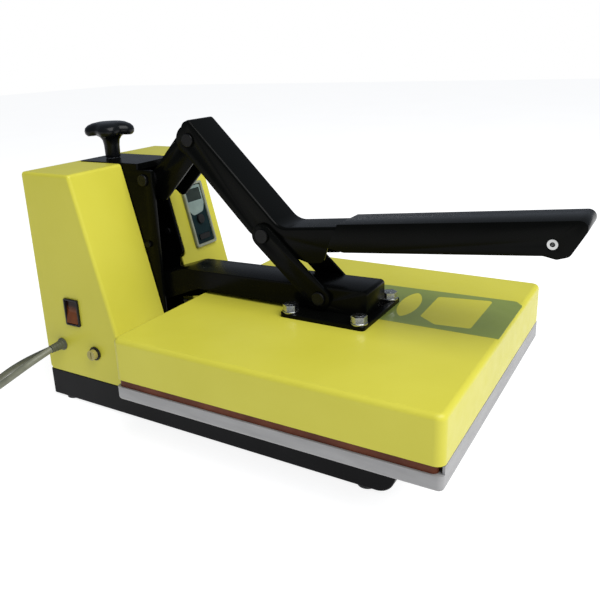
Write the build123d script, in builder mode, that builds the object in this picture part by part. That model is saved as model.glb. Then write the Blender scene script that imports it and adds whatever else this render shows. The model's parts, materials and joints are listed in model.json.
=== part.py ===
"""Clamshell heat press: closed and locked, on its feet, with its front towards -Y.

The origin is under the middle of the press, on the surface that it stands on, and +Z is up.
Side outlines are drawn in the YZ plane, so a point (y, z) there is a place on the machine.
"""
from build123d import *
import math
import os

os.makedirs("parts", exist_ok=True)

# ---------------------------------------------------------------- driving dimensions, millimetres
GAP = 0.4  # side clearance between plates that pass each other
FIT = 0.05  # radial running clearance of a pin in its hole

# base
BASE_W = 266.0  # over the side rails
RAIL_W = 25.0
RAIL_T = 3.0
FOOT_H = 3.0
RAIL_TOP = 43.4
BASE_REAR = 337.5
BASE_FRONT = -187.0
BENCH_HOLE_R = 4.5
BENCH_PITCH_X = 241.0
BENCH_Y = (-150.0, 310.0)

# lower platen
PLATEN_SIZE = 400.0
PLATEN_REAR = 140.0
PLATEN_Y = PLATEN_REAR - PLATEN_SIZE / 2
TRAY_BOTTOM = 73.0
TRAY_TOP = 89.8
PAD_TOP = 98.8
LIP_TOP = 98.2

# heated platen
COVER_BOTTOM = 99.5
COVER_TOP = 151.3
SHEET = 2.0
HEAT_BOTTOM = 99.2
HEAT_T = 14.0

# pivots, as (y, z)
APEX = (142.0, 358.0)
KNEE = (33.0, 243.6)
LINK_END = (-45.0, 172.6)
ARM_PIVOT = (290.0, 118.0)
YOKE_PIVOT = (215.0, 304.0)
SCREW_Y = 303.0
PIN_R = 7.0

# channel widths, as half widths over the outside
PLATE_T = 4.0
ARM_X = 27.0
LINK_X = ARM_X + GAP
YOKE_X = ARM_X - PLATE_T - GAP
YOKE_T = 5.0
WALL_IN = 32.8
WALL_T = 5.0
WALL_X = WALL_IN + WALL_T

# column
COLUMN_FRONT = 199.0
COLUMN_REAR = 331.0
COLUMN_FOOT = RAIL_TOP + 6.0
COLUMN_TOP = 317.5
CAP_FRONT = 223.0
CAP_TOP = 325.6

# housing
HOUSING_X = 133.0
HOUSING_TOP = 324.4
HOUSING_REAR = 335.5
FACE_TOP_Y = 252.0  # front face at the top
FACE_SLOPE = 0.25  # how far the face comes forward for each millimetre down
SLOT_X = 39.0
SLOT_STEP = 178.0  # the slot's right edge steps in below this height
SLOT_LOW_X = 29.0
WALL_BOLT = (216.0, 215.0)
WALL_BOLT_RIGHT = (240.0, 215.0)

# yoke, knob, lever and handle
YOKE_ANGLE = 46.0  # fall of the yoke towards the rear
KNOB_FOOT = CAP_TOP + 0.6
KNOB_TOP = 377.0
HANDLE_RISE = 0.108  # rise of the handle for each millimetre forward
LEVER_END = -150.0
HANDLE_FRONT = -339.5
SLEEVE_X = ARM_X + 2.0
SLEEVE_H = 35.6

# platen arm and mounting plate
ARM_FRONT = -107.0
PLATE_TOP = COVER_TOP + 5.0
STUD_PITCH = 92.0

# controls; places on the housing's left side are (y, z)
ROCKER_AT = (277.0, 137.5)
SWITCH_W = 26.0
SWITCH_H = 38.0
SWITCH_RIM = 2.3  # width of the rim round the rocker
ROCKER_TILT = 8.0
ROCKER_AXIS_X = -131.0
FUSE_AT = (243.0, 84.0)
CONTROL_X = 88.0
CONTROL_Z = 229.5
PANEL_W = 48.0
PANEL_H = 98.0

# mains cord
CORD_AT = (306.0, 86.0)
CORD_R = 4.5
GLAND_LEN = 22.0


def save(name, piece):
    """Label a finished piece and write it."""
    piece.part.label = name
    export_step(piece.part, f"parts/{name}.step")


def face_y(z):
    """Y of the housing's front face at height z."""
    return FACE_TOP_Y - FACE_SLOPE * (HOUSING_TOP - z)


def face_plane(x, z, proud=0.0):
    """Plane on the housing's sloping front face, facing out."""
    length = math.hypot(1.0, FACE_SLOPE)
    normal = Vector(0, -1.0 / length, FACE_SLOPE / length)
    return Plane(origin=Vector(x, face_y(z), z) + normal * proud, x_dir=(1, 0, 0), z_dir=normal)


def outline(*corners):
    """Closed side outline from (y, z, corner radius) triples, in the current sketch."""
    with BuildLine() as path:
        FilletPolyline(*[(y, z) for y, z, _ in corners], radius=[r for _, _, r in corners], close=True)
    make_face(path.edges())


# ================================================================ base frame


def base_rail(name, side):
    """C section side rail, open inwards, with its lower front corner rounded."""
    web_x = side * BASE_W / 2
    with BuildPart() as rail:
        with BuildSketch(Plane.YZ.offset(web_x)):
            with BuildLine():
                Polyline(
                    (BASE_FRONT, FOOT_H),
                    (BASE_REAR, FOOT_H),
                    (BASE_REAR, RAIL_TOP),
                    (BASE_FRONT, RAIL_TOP),
                    close=True,
                )
            make_face()
        extrude(amount=-side * RAIL_W)
        front_low = rail.edges().filter_by(Axis.X).sort_by(Axis.Y)[:2].sort_by(Axis.Z)[0]
        fillet(front_low, radius=22)
        long_edges = rail.edges().filter_by(Axis.Y).sort_by(Axis.X, reverse=side > 0)[:2]
        fillet(long_edges, radius=2)
        hollow_x = web_x - side * (RAIL_T + RAIL_W / 2)
        hollow_h = RAIL_TOP - FOOT_H - 2 * RAIL_T
        hollow_l = BASE_REAR - BASE_FRONT - 2 * RAIL_T - 22
        with Locations((hollow_x, BASE_REAR - RAIL_T - hollow_l / 2, FOOT_H + RAIL_T + hollow_h / 2)):
            Box(RAIL_W, hollow_l, hollow_h, mode=Mode.SUBTRACT)
        with Locations(*[(side * BENCH_PITCH_X / 2, y, FOOT_H) for y in BENCH_Y]):
            Cylinder(BENCH_HOLE_R, 4 * RAIL_T, mode=Mode.SUBTRACT)
    save(name, rail)


base_rail("base_rail_left", -1)
base_rail("base_rail_right", 1)


with BuildPart() as cross_tubes:
    tube_len = BASE_W - 2 * RAIL_W
    tube_h = RAIL_TOP - FOOT_H - 2 * RAIL_T
    for tube_y in (-140.0, 75.0):
        with BuildSketch(Plane.YZ.offset(-tube_len / 2)):
            with Locations((tube_y, FOOT_H + RAIL_T + tube_h / 2)):
                RectangleRounded(34, tube_h, 3)
                RectangleRounded(29, tube_h - 5, 1.5, mode=Mode.SUBTRACT)
        extrude(amount=tube_len)
save("cross_tubes", cross_tubes)

with BuildPart() as rubber_feet:
    for bench_y in BENCH_Y:
        with BuildSketch():
            with Locations((-BENCH_PITCH_X / 2, bench_y), (BENCH_PITCH_X / 2, bench_y)):
                Circle(11.5)
                Circle(BENCH_HOLE_R, mode=Mode.SUBTRACT)
        extrude(amount=FOOT_H)
save("rubber_feet", rubber_feet)

with BuildPart() as column_base_plate:
    with BuildSketch(Plane.XY.offset(RAIL_TOP)):
        with Locations((0, 262)):
            RectangleRounded(2 * 126, 144, 4)
    extrude(amount=COLUMN_FOOT - RAIL_TOP)
save("column_base_plate", column_base_plate)


# ================================================================ lower platen


with BuildPart() as platen_supports:
    support_h = TRAY_BOTTOM - RAIL_TOP
    for support_y in (-140.0, 60.0):
        with BuildSketch(Plane.YZ.offset(-125)):
            with Locations((support_y, RAIL_TOP + support_h / 2)):
                Rectangle(50, support_h)
            with Locations((support_y, RAIL_TOP + support_h / 2 - 1.5)):
                Rectangle(44, support_h - 3, mode=Mode.SUBTRACT)
        extrude(amount=250)
save("platen_supports", platen_supports)

with BuildPart() as lower_platen_tray:
    tray_h = TRAY_TOP - TRAY_BOTTOM
    with Locations((0, PLATEN_Y, TRAY_BOTTOM + tray_h / 2)):
        Box(PLATEN_SIZE, PLATEN_SIZE, tray_h)
    fillet(lower_platen_tray.edges().filter_by(Axis.Z), radius=6)
    fillet(lower_platen_tray.edges().group_by(Axis.Z)[0], radius=4)
    with Locations((0, PLATEN_Y - PLATEN_SIZE / 2 + 1.25, (TRAY_BOTTOM + LIP_TOP) / 2 + 2)):
        Box(PLATEN_SIZE - 12, 2.5, LIP_TOP - TRAY_BOTTOM - 4)
save("lower_platen_tray", lower_platen_tray)

with BuildPart() as silicone_pad:
    with BuildSketch(Plane.XY.offset(TRAY_TOP)):
        with Locations((0, PLATEN_Y + 2)):
            RectangleRounded(PLATEN_SIZE - 5, PLATEN_SIZE - 9, 6)
    extrude(amount=PAD_TOP - TRAY_TOP)
    fillet(silicone_pad.edges().group_by(Axis.Z)[-1], radius=1.5)
save("silicone_pad", silicone_pad)

# ================================================================ column


def column_wall(name, side, front):
    """Side wall of the column behind a front edge of (y, z, radius), with two pivot bores and a bolt hole."""
    with BuildPart() as wall:
        with BuildSketch(Plane.YZ.offset(side * WALL_IN)):
            outline(
                *front,
                (COLUMN_REAR, COLUMN_TOP, 0),
                (COLUMN_REAR, COLUMN_FOOT, 0),
            )
            with Locations(YOKE_PIVOT, ARM_PIVOT):
                Circle(PIN_R, mode=Mode.SUBTRACT)
            with Locations(WALL_BOLT if side < 0 else WALL_BOLT_RIGHT):
                Circle(3, mode=Mode.SUBTRACT)
        extrude(amount=side * WALL_T)
    save(name, wall)


column_wall("column_wall_left", -1, ((COLUMN_FRONT, COLUMN_FOOT, 3), (COLUMN_FRONT, COLUMN_TOP, 3)))
column_wall(
    "column_wall_right",
    1,
    (
        (face_y(SLOT_STEP) + 12, COLUMN_FOOT, 3),
        (face_y(SLOT_STEP) + 12, SLOT_STEP - 2, 4),
        (face_y(SLOT_STEP + 6), SLOT_STEP + 6, 8),
        (face_y(280), 280.0, 12),
        (COLUMN_FRONT, 290.0, 8),
        (COLUMN_FRONT, COLUMN_TOP, 3),
    ),
)

with BuildPart() as column_back:
    back_h = COLUMN_TOP - COLUMN_FOOT
    with Locations((0, COLUMN_REAR - WALL_T / 2, COLUMN_FOOT + back_h / 2)):
        Box(2 * WALL_IN, WALL_T, back_h)
save("column_back", column_back)

with BuildPart() as column_cap_plate:
    cap_len = COLUMN_REAR - CAP_FRONT
    with BuildSketch(Plane.XY.offset(COLUMN_TOP)):
        with Locations((0, CAP_FRONT + cap_len / 2)):
            RectangleRounded(2 * WALL_X, cap_len, 3)
        with Locations((0, SCREW_Y)):
            Circle(8.05, mode=Mode.SUBTRACT)
    extrude(amount=CAP_TOP - COLUMN_TOP)
    fillet(column_cap_plate.edges().group_by(Axis.Z)[-1].filter_by(GeomType.LINE), radius=1)
save("column_cap_plate", column_cap_plate)

with BuildPart() as wall_bolts:
    for side, bolt_at in ((-1, WALL_BOLT), (1, WALL_BOLT_RIGHT)):
        with BuildSketch(Plane.YZ.offset(side * WALL_X)):
            with Locations(bolt_at):
                Circle(4.4)
        extrude(amount=side * 3)
        with BuildSketch(Plane.YZ.offset(side * WALL_IN)):
            with Locations(bolt_at):
                Circle(3)
        extrude(amount=side * WALL_T)
        with BuildSketch(Plane.YZ.offset(side * WALL_IN)):
            with Locations(bolt_at):
                RegularPolygon(5.5, 6)
        extrude(amount=-side * 4)
save("wall_bolts", wall_bolts)


def shaft(name, place, radius, reach, head_r, head_t, bore=0.0):
    """Cross shaft with a head at each end, centred on X = 0."""
    with BuildPart() as pin:
        with BuildSketch(Plane.YZ):
            with Locations(place):
                Circle(radius)
        extrude(amount=reach, both=True)
        for side in (-1, 1):
            with BuildSketch(Plane.YZ.offset(side * reach)):
                with Locations(place):
                    Circle(head_r)
            extrude(amount=side * head_t)
        outer = pin.edges().filter_by(GeomType.CIRCLE).group_by(Axis.X)
        fillet(outer[0] + outer[-1], radius=head_t * 0.45)
        if bore:
            with BuildSketch(Plane.YZ):
                with Locations(place):
                    Circle(bore)
            extrude(amount=reach + head_t, both=True, mode=Mode.SUBTRACT)
    save(name, pin)


shaft("arm_pivot_shaft", ARM_PIVOT, PIN_R, WALL_X, 11, 5)
shaft("yoke_pivot_shaft", YOKE_PIVOT, PIN_R, WALL_X, 8, 3)

with BuildPart() as pivot_spacers:
    for place, channel_x in ((ARM_PIVOT, ARM_X), (YOKE_PIVOT, YOKE_X)):
        for side in (-1, 1):
            with BuildSketch(Plane.YZ.offset(side * (channel_x + 0.3))):
                with Locations(place):
                    Circle(12)
                    Circle(PIN_R, mode=Mode.SUBTRACT)
            extrude(amount=side * (WALL_IN - channel_x - 0.3))
save("pivot_spacers", pivot_spacers)

# ================================================================ head yoke and pressure screw

YOKE_DIR = (math.cos(math.radians(YOKE_ANGLE)), -math.sin(math.radians(YOKE_ANGLE)))
YOKE_UP = (math.sin(math.radians(YOKE_ANGLE)), math.cos(math.radians(YOKE_ANGLE)))


def yoke_point(along, up):
    """Point at a distance along the yoke from the apex, and above its centre line."""
    return (
        APEX[0] + along * YOKE_DIR[0] + up * YOKE_UP[0],
        APEX[1] + along * YOKE_DIR[1] + up * YOKE_UP[1],
    )


with BuildPart() as head_yoke:
    with BuildSketch(Plane.YZ.offset(YOKE_X - YOKE_T)):
        outline(
            (*yoke_point(0, 14.6), 0),
            (*yoke_point(13, 18.0), 6),
            (*yoke_point(80, 18.0), 12),
            (SCREW_Y + 13, 311.0, 4),
            (SCREW_Y + 13, 289.0, 4),
            (235.0, 289.0, 10),
            (205.0, 281.0, 10),
            (*yoke_point(99, -21.5), 8),
            (*yoke_point(12, -21.5), 5),
            (*yoke_point(0, -14.6), 0),
        )
        with Locations(APEX):
            Circle(14.6)
            Circle(PIN_R, mode=Mode.SUBTRACT)
        with Locations(YOKE_PIVOT):
            Circle(PIN_R + FIT, mode=Mode.SUBTRACT)
    extrude(amount=YOKE_T)
    mirror(about=Plane.YZ)
    with BuildSketch(Plane.YZ):
        outline(
            (*yoke_point(22, 18.0), 0),
            (*yoke_point(66, 18.0), 0),
            (*yoke_point(66, 13.0), 0),
            (*yoke_point(22, 13.0), 0),
        )
    extrude(amount=YOKE_X, both=True)
save("head_yoke", head_yoke)

with BuildPart() as pressure_nut_block:
    with Locations((0, SCREW_Y, 300)):
        Box(2 * (YOKE_X - YOKE_T), 25, 18)
        Cylinder(7.5, 30, mode=Mode.SUBTRACT)
save("pressure_nut_block", pressure_nut_block)

shaft("apex_pin", APEX, PIN_R, ARM_X + 0.3, 8.6, 2.5)

with BuildPart() as pressure_screw:
    with BuildSketch(Plane.XY.offset(282)):
        with Locations((0, SCREW_Y)):
            Circle(6)
    extrude(amount=60)
    with BuildSketch(Plane.XY.offset(312.2)):
        with Locations((0, SCREW_Y)):
            Circle(11)
    extrude(amount=5)
    with BuildSketch(Plane.XY.offset(317.2)):
        with Locations((0, SCREW_Y)):
            Circle(8)
    extrude(amount=CAP_TOP + 0.6 - 317.2)
save("pressure_screw", pressure_screw)

with BuildPart() as pressure_knob:
    with BuildSketch(Plane.XZ.offset(-SCREW_Y)):
        with BuildLine():
            Polyline(
                (0, KNOB_FOOT),
                (10.5, KNOB_FOOT),
                (11.5, KNOB_FOOT + 18),
                (16, KNOB_FOOT + 30),
                (28, KNOB_TOP - 18),
                (33, KNOB_TOP - 17),
                (35.6, KNOB_TOP - 11),
                (33.5, KNOB_TOP - 4),
                (24, KNOB_TOP),
                (0, KNOB_TOP - 1),
                close=True,
            )
        make_face()
    revolve(axis=Axis((0, SCREW_Y, 0), (0, 0, 1)))
    with Locations((0, SCREW_Y, KNOB_FOOT)):
        with PolarLocations(41.5, 5):
            Cylinder(12, 80, mode=Mode.SUBTRACT, align=(Align.CENTER, Align.CENTER, Align.MIN))
    with Locations((0, SCREW_Y, KNOB_FOOT + 8)):
        Cylinder(6, 16, mode=Mode.SUBTRACT)
save("pressure_knob", pressure_knob)

# ================================================================ lever and handle



def lever_top(y):
    """Top of the lever channel's forward run at y."""
    return 256.2 - HANDLE_RISE * y


def sleeve_top(y):
    """Top of the handle sleeve at y."""
    return lever_top(y) + 3.5


with BuildPart() as lever_channel:
    with BuildSketch(Plane.YZ):
        outline(
            (140.0, 384.0, 5),
            (10.2, lever_top(10.2), 25),
            (LEVER_END, lever_top(LEVER_END), 0),
            (LEVER_END, lever_top(LEVER_END) - 25.5, 0),
            (-56.0, 236.8, 4),
            (-49.5, 217.5, 6),
            (-30.0, 215.0, 10),
            (28.0, 228.8, 12),
            (54.0, 245.2, 10),
            (153.5, 346.4, 0),
            (158.0, 366.0, 0),
            (150.0, 380.0, 6),
        )
        with Locations(APEX):
            Circle(18.8)
    extrude(amount=ARM_X, both=True)
    with BuildSketch(Plane.YZ):
        outline(
            (200.0, 437.9, 0),
            (11.4, 251.0, 29),
            (LEVER_END - 10, lever_top(LEVER_END - 10) - PLATE_T, 0),
            (LEVER_END - 10, 150.0, 0),
            (200.0, 150.0, 0),
        )
    extrude(amount=ARM_X - PLATE_T, both=True, mode=Mode.SUBTRACT)
    top_edges = lever_channel.edges().filter_by(lambda e: abs(abs(e.center().X) - ARM_X) < 0.01)
    web_edges = [
        e for e in top_edges
        if e.center().Z > 0.99 * e.center().Y + 244.6 and 30 < e.center().Y < 138 and e.length > 60
    ]
    fillet(web_edges, radius=3.8)
    with BuildSketch(Plane.YZ):
        with Locations(APEX):
            Circle(PIN_R + FIT)
    extrude(amount=ARM_X + 1, both=True, mode=Mode.SUBTRACT)
    with BuildSketch(Plane.YZ):
        with Locations(KNEE):
            Circle(PIN_R)
    extrude(amount=ARM_X + 1, both=True, mode=Mode.SUBTRACT)
save("lever_channel", lever_channel)

with BuildPart() as knee_bush:
    with BuildSketch(Plane.YZ):
        with Locations(KNEE):
            Circle(PIN_R)
            Circle(PIN_R - 2.5, mode=Mode.SUBTRACT)
    extrude(amount=ARM_X, both=True)
save("knee_bush", knee_bush)

with BuildPart() as handle_sleeve:
    with BuildSketch(Plane.YZ):
        outline(
            (-70.0, sleeve_top(-70.0), 0),
            (HANDLE_FRONT, sleeve_top(HANDLE_FRONT), 8),
            (HANDLE_FRONT, 285.0, 8),
            (-325.0, 258.0, 8),
            (-313.0, 253.8, 6),
            (-300.0, 256.3, 6),
            (-78.0, sleeve_top(-78.0) - SLEEVE_H + 1.5, 12),
            (-57.0, 237.5, 0),
        )
    extrude(amount=SLEEVE_X, both=True)
    with BuildSketch(Plane.YZ):
        outline(
            (-30.0, lever_top(-30.0), 0),
            (HANDLE_FRONT + 3.5, lever_top(HANDLE_FRONT + 3.5), 2.5),
            (HANDLE_FRONT + 3.5, 287.5, 2),
            (-322.5, 262.5, 4),
            (-311.0, 257.5, 0),
            (-311.0, 200.0, 0),
            (-30.0, 200.0, 0),
        )
    extrude(amount=ARM_X, both=True, mode=Mode.SUBTRACT)
    with BuildSketch(Plane.YZ):
        with Locations((-308.4, 269.5)):
            Circle(3.8)
    extrude(amount=SLEEVE_X + 1, both=True, mode=Mode.SUBTRACT)
save("handle_sleeve", handle_sleeve)

with BuildPart() as handle_eyelet:
    for side in (-1, 1):
        with BuildSketch(Plane.YZ.offset(side * SLEEVE_X)):
            with Locations((-308.4, 269.5)):
                Circle(5.3)
        extrude(amount=side * 1.2)
    with BuildSketch(Plane.YZ):
        with Locations((-308.4, 269.5)):
            Circle(3.8)
    extrude(amount=SLEEVE_X, both=True)
    with BuildSketch(Plane.YZ):
        with Locations((-308.4, 269.5)):
            Circle(2.6)
    extrude(amount=SLEEVE_X + 2, both=True, mode=Mode.SUBTRACT)
save("handle_eyelet", handle_eyelet)

# ================================================================ toggle link


def link_plate(name, side):
    """One of the two plates that join the lever's knee to the arm."""
    with BuildPart() as plate:
        with BuildSketch(Plane.YZ.offset(side * LINK_X)):
            with Locations(KNEE):
                Circle(15)
            with Locations(LINK_END):
                Circle(14.6)
            make_hull()
            with Locations(KNEE):
                Circle(PIN_R, mode=Mode.SUBTRACT)
            with Locations(LINK_END):
                Circle(PIN_R + FIT, mode=Mode.SUBTRACT)
        extrude(amount=side * PLATE_T)
    save(name, plate)


link_plate("link_plate_left", -1)
link_plate("link_plate_right", 1)

with BuildPart() as knee_pins:
    for side in (-1, 1):
        with BuildSketch(Plane.YZ.offset(side * LINK_X)):
            with Locations(KNEE):
                Circle(PIN_R)
        extrude(amount=side * PLATE_T)
        with BuildSketch(Plane.YZ.offset(side * (LINK_X + PLATE_T))):
            with Locations(KNEE):
                Circle(8.6)
        extrude(amount=side * 2.5)
save("knee_pins", knee_pins)

shaft("link_pin", LINK_END, PIN_R, LINK_X + PLATE_T + 0.3, 8.6, 2.5)

# ================================================================ platen arm and heated platen

stud_half = STUD_PITCH / 2
stud_places = [(x, PLATEN_Y + y) for x in (-stud_half, stud_half) for y in (-stud_half, stud_half)]

with BuildPart() as platen_arm:
    with BuildSketch(Plane.YZ):
        outline(
            (ARM_FRONT, PLATE_TOP, 0),
            (ARM_FRONT, 188.5, 5),
            (168.0, 182.5, 40),
            (290.0, 140.0, 0),
            (290.0, 100.0, 0),
            (145.0, PLATE_TOP, 12),
        )
        with Locations(ARM_PIVOT):
            Circle(22)
    extrude(amount=ARM_X, both=True)
    with BuildSketch(Plane.YZ):
        outline(
            (ARM_FRONT + PLATE_T, 60.0, 0),
            (ARM_FRONT + PLATE_T, 184.4, 2),
            (167.3, 178.4, 36),
            (330.0, 121.7, 0),
            (330.0, 60.0, 0),
        )
    extrude(amount=ARM_X - PLATE_T, both=True, mode=Mode.SUBTRACT)
    with BuildSketch(Plane.YZ):
        with Locations(ARM_PIVOT):
            Circle(PIN_R + FIT)
    extrude(amount=ARM_X + 1, both=True, mode=Mode.SUBTRACT)
    with BuildSketch(Plane.YZ):
        with Locations(LINK_END):
            Circle(PIN_R)
    extrude(amount=ARM_X + 1, both=True, mode=Mode.SUBTRACT)
save("platen_arm", platen_arm)

with BuildPart() as mounting_plate:
    with BuildSketch(Plane.XY.offset(COVER_TOP)):
        with Locations((0, PLATEN_Y)):
            RectangleRounded(113, 113, 5)
        with Locations(*stud_places):
            Circle(5, mode=Mode.SUBTRACT)
    extrude(amount=PLATE_TOP - COVER_TOP)
save("mounting_plate", mounting_plate)

with BuildPart() as platen_fasteners:
    with BuildSketch(Plane.XY.offset(HEAT_BOTTOM + HEAT_T - 6)):
        with Locations(*stud_places):
            Circle(5)
    extrude(amount=PLATE_TOP + 10.5 - (HEAT_BOTTOM + HEAT_T - 6))
    with BuildSketch(Plane.XY.offset(PLATE_TOP)):
        with Locations(*stud_places):
            Circle(10.5)
    extrude(amount=2)
    with BuildSketch(Plane.XY.offset(PLATE_TOP + 2)):
        with Locations(*stud_places):
            RegularPolygon(9.8, 6)
    extrude(amount=8)
save("platen_fasteners", platen_fasteners)

with BuildPart() as platen_cover:
    cover_h = COVER_TOP - COVER_BOTTOM
    with Locations((0, PLATEN_Y, COVER_BOTTOM + cover_h / 2)):
        Box(PLATEN_SIZE, PLATEN_SIZE, cover_h)
    fillet(platen_cover.edges().filter_by(Axis.Z), radius=10)
    fillet(platen_cover.edges().group_by(Axis.Z)[-1], radius=6)
    offset(amount=-SHEET, openings=platen_cover.faces().sort_by(Axis.Z)[0])
    with BuildSketch(Plane.XY.offset(COVER_TOP - 3)):
        with Locations(*stud_places):
            Circle(5)
    extrude(amount=6, mode=Mode.SUBTRACT)
    with BuildSketch(Plane.XZ.offset(-PLATEN_REAR)):
        with Locations((70, 125)):
            Circle(7)
    extrude(amount=6, both=True, mode=Mode.SUBTRACT)
save("platen_cover", platen_cover)

with BuildPart() as heat_platen:
    with BuildSketch(Plane.XY.offset(HEAT_BOTTOM)):
        with Locations((0, PLATEN_Y)):
            RectangleRounded(388, 388, 8)
    extrude(amount=HEAT_T)
    fillet(heat_platen.edges().group_by(Axis.Z)[0], radius=1.5)
    with BuildSketch(Plane.XY.offset(HEAT_BOTTOM + HEAT_T - 6)):
        with Locations(*stud_places):
            Circle(5)
    extrude(amount=6, mode=Mode.SUBTRACT)
save("heat_platen", heat_platen)

ELEMENT_R = 4.0
with BuildPart() as heating_element:
    runs = (-150, -95, -20, 20, 95, 150)
    element_points = []
    for count, run_y in enumerate(runs):
        ends = (-160, 160) if count % 2 == 0 else (160, -160)
        element_points += [(x, PLATEN_Y + run_y, HEAT_BOTTOM + HEAT_T + ELEMENT_R) for x in ends]
    with BuildLine():
        element_line = FilletPolyline(*element_points, radius=15)
    with BuildSketch(Plane(origin=element_line @ 0, z_dir=element_line % 0)):
        Circle(ELEMENT_R)
    sweep()
save("heating_element", heating_element)

BLANKET_BOTTOM = HEAT_BOTTOM + HEAT_T + 2 * ELEMENT_R + 0.5
with BuildPart() as insulation_blanket:
    with BuildSketch(Plane.XY.offset(BLANKET_BOTTOM)):
        with Locations((0, PLATEN_Y)):
            RectangleRounded(384, 384, 8)
        with Locations(*stud_places):
            Circle(10, mode=Mode.SUBTRACT)
    extrude(amount=COVER_TOP - SHEET - BLANKET_BOTTOM - 8)
save("insulation_blanket", insulation_blanket)

with BuildPart() as platen_spacers:
    with BuildSketch(Plane.XY.offset(HEAT_BOTTOM + HEAT_T)):
        with Locations(*stud_places):
            Circle(9)
            Circle(5, mode=Mode.SUBTRACT)
    extrude(amount=COVER_TOP - SHEET - HEAT_BOTTOM - HEAT_T)
save("platen_spacers", platen_spacers)

with BuildPart() as temperature_sensor:
    with BuildSketch(Plane.XY.offset(HEAT_BOTTOM + HEAT_T)):
        with Locations((110, PLATEN_Y + 58)):
            SlotOverall(24, 9)
    extrude(amount=6)
save("temperature_sensor", temperature_sensor)


def tapered_gland(name, plane, length, tip_r, bore=0.0):
    """Cable gland: flange on the panel, tapered boot outside, short neck inside."""
    with BuildPart() as gland:
        with BuildSketch(plane):
            Circle(9.5)
        extrude(amount=3)
        with BuildSketch(plane.offset(3)):
            Circle(8)
        with BuildSketch(plane.offset(length)):
            Circle(tip_r)
        loft()
        with BuildSketch(plane.offset(-8)):
            Circle(7)
        extrude(amount=8)
        if bore:
            with BuildSketch(plane.offset(-8)):
                Circle(bore)
            extrude(amount=length + 8, mode=Mode.SUBTRACT)
    save(name, gland)


lead_plane = Plane(origin=(70, PLATEN_REAR, 125), x_dir=(1, 0, 0), z_dir=(0, 1, 0))
tapered_gland("platen_lead_gland", lead_plane, 20, 5.5, 4.0)

# ================================================================ housing


with BuildPart() as housing_shell:
    with BuildSketch(Plane.YZ):
        outline(
            (face_y(RAIL_TOP), RAIL_TOP, 0),
            (FACE_TOP_Y, HOUSING_TOP, 5),
            (HOUSING_REAR, HOUSING_TOP, 0),
            (HOUSING_REAR, RAIL_TOP, 0),
        )
    extrude(amount=HOUSING_X, both=True)
    side_edges = [
        e for e in housing_shell.edges().filter_by_position(Axis.Y, 0, HOUSING_REAR - 1)
        if abs(abs(e.center().X) - HOUSING_X) < 0.01 and e.center().Z > RAIL_TOP + 1
    ]
    fillet(side_edges, radius=4.5)
    shell_faces = housing_shell.faces()
    offset(amount=-SHEET, openings=[shell_faces.sort_by(Axis.Y)[-1], shell_faces.sort_by(Axis.Z)[0]])
    with BuildSketch(Plane.XZ.offset(-HOUSING_REAR + SHEET)):
        with BuildLine():
            FilletPolyline(
                (-SLOT_X, 0),
                (SLOT_LOW_X, 0),
                (SLOT_LOW_X, SLOT_STEP),
                (SLOT_X, SLOT_STEP),
                (SLOT_X, HOUSING_TOP + 10),
                (-SLOT_X, HOUSING_TOP + 10),
                radius=[0, 0, 4, 6, 0, 0],
                close=True,
            )
        make_face()
    extrude(amount=200, mode=Mode.SUBTRACT)
    with BuildSketch(Plane.YZ.offset(-HOUSING_X)):
        with Locations(ROCKER_AT):
            Rectangle(SWITCH_W - 2.5, SWITCH_H - 2.5)
        with Locations(FUSE_AT):
            Circle(6)
        with Locations(CORD_AT):
            Circle(7)
    extrude(amount=8, both=True, mode=Mode.SUBTRACT)
    with BuildSketch(face_plane(CONTROL_X, CONTROL_Z)):
        Rectangle(40, 88)
    extrude(amount=8, both=True, mode=Mode.SUBTRACT)
save("housing_shell", housing_shell)

with BuildPart() as housing_rear_cover:
    with BuildSketch(Plane.XZ.offset(-HOUSING_REAR)):
        with Locations((0, (RAIL_TOP + HOUSING_TOP) / 2)):
            RectangleRounded(2 * HOUSING_X, HOUSING_TOP - RAIL_TOP, 4.5)
        with Locations((-70, 90), (70, 90)):
            with GridLocations(0, 9, 1, 6):
                SlotOverall(70, 4, mode=Mode.SUBTRACT)
        with Locations((-70, 280), (70, 280)):
            with GridLocations(0, 9, 1, 4):
                SlotOverall(70, 4, mode=Mode.SUBTRACT)
    extrude(amount=-SHEET)
save("housing_rear_cover", housing_rear_cover)

with BuildPart() as rear_cover_screws:
    with BuildSketch(Plane.XZ.offset(-HOUSING_REAR - SHEET)):
        with Locations(*[(x, z) for x in (-124, 124) for z in (55, 184, 313)]):
            Circle(4)
    extrude(amount=-2)
    fillet(rear_cover_screws.edges().group_by(Axis.Y)[-1], radius=1.2)
save("rear_cover_screws", rear_cover_screws)

# ---------------------------------------------------------------- controller

panel_plane = face_plane(CONTROL_X, CONTROL_Z)

with BuildPart() as controller_bezel:
    with BuildSketch(panel_plane):
        RectangleRounded(PANEL_W, PANEL_H, 4)
        RectangleRounded(PANEL_W - 8, PANEL_H - 8, 2, mode=Mode.SUBTRACT)
    extrude(amount=5)
save("controller_bezel", controller_bezel)

WINDOW_AT = (0, 30)
BUTTON_AT = (0, -8)
KEY_AT = (0, -35)
with BuildPart() as controller_face:
    with BuildSketch(panel_plane):
        RectangleRounded(PANEL_W - 8.2, PANEL_H - 8.2, 2)
        with Locations(WINDOW_AT):
            Rectangle(32, 18, mode=Mode.SUBTRACT)
        with Locations(BUTTON_AT):
            Circle(7.3, mode=Mode.SUBTRACT)
        with Locations(KEY_AT):
            Rectangle(24.6, 8.6, mode=Mode.SUBTRACT)
    extrude(amount=2.5)
save("controller_face", controller_face)

with BuildPart() as display_window:
    with BuildSketch(panel_plane.offset(0.2)):
        with Locations(WINDOW_AT):
            Rectangle(31.8, 17.8)
    extrude(amount=2.1)
save("display_window", display_window)

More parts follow.
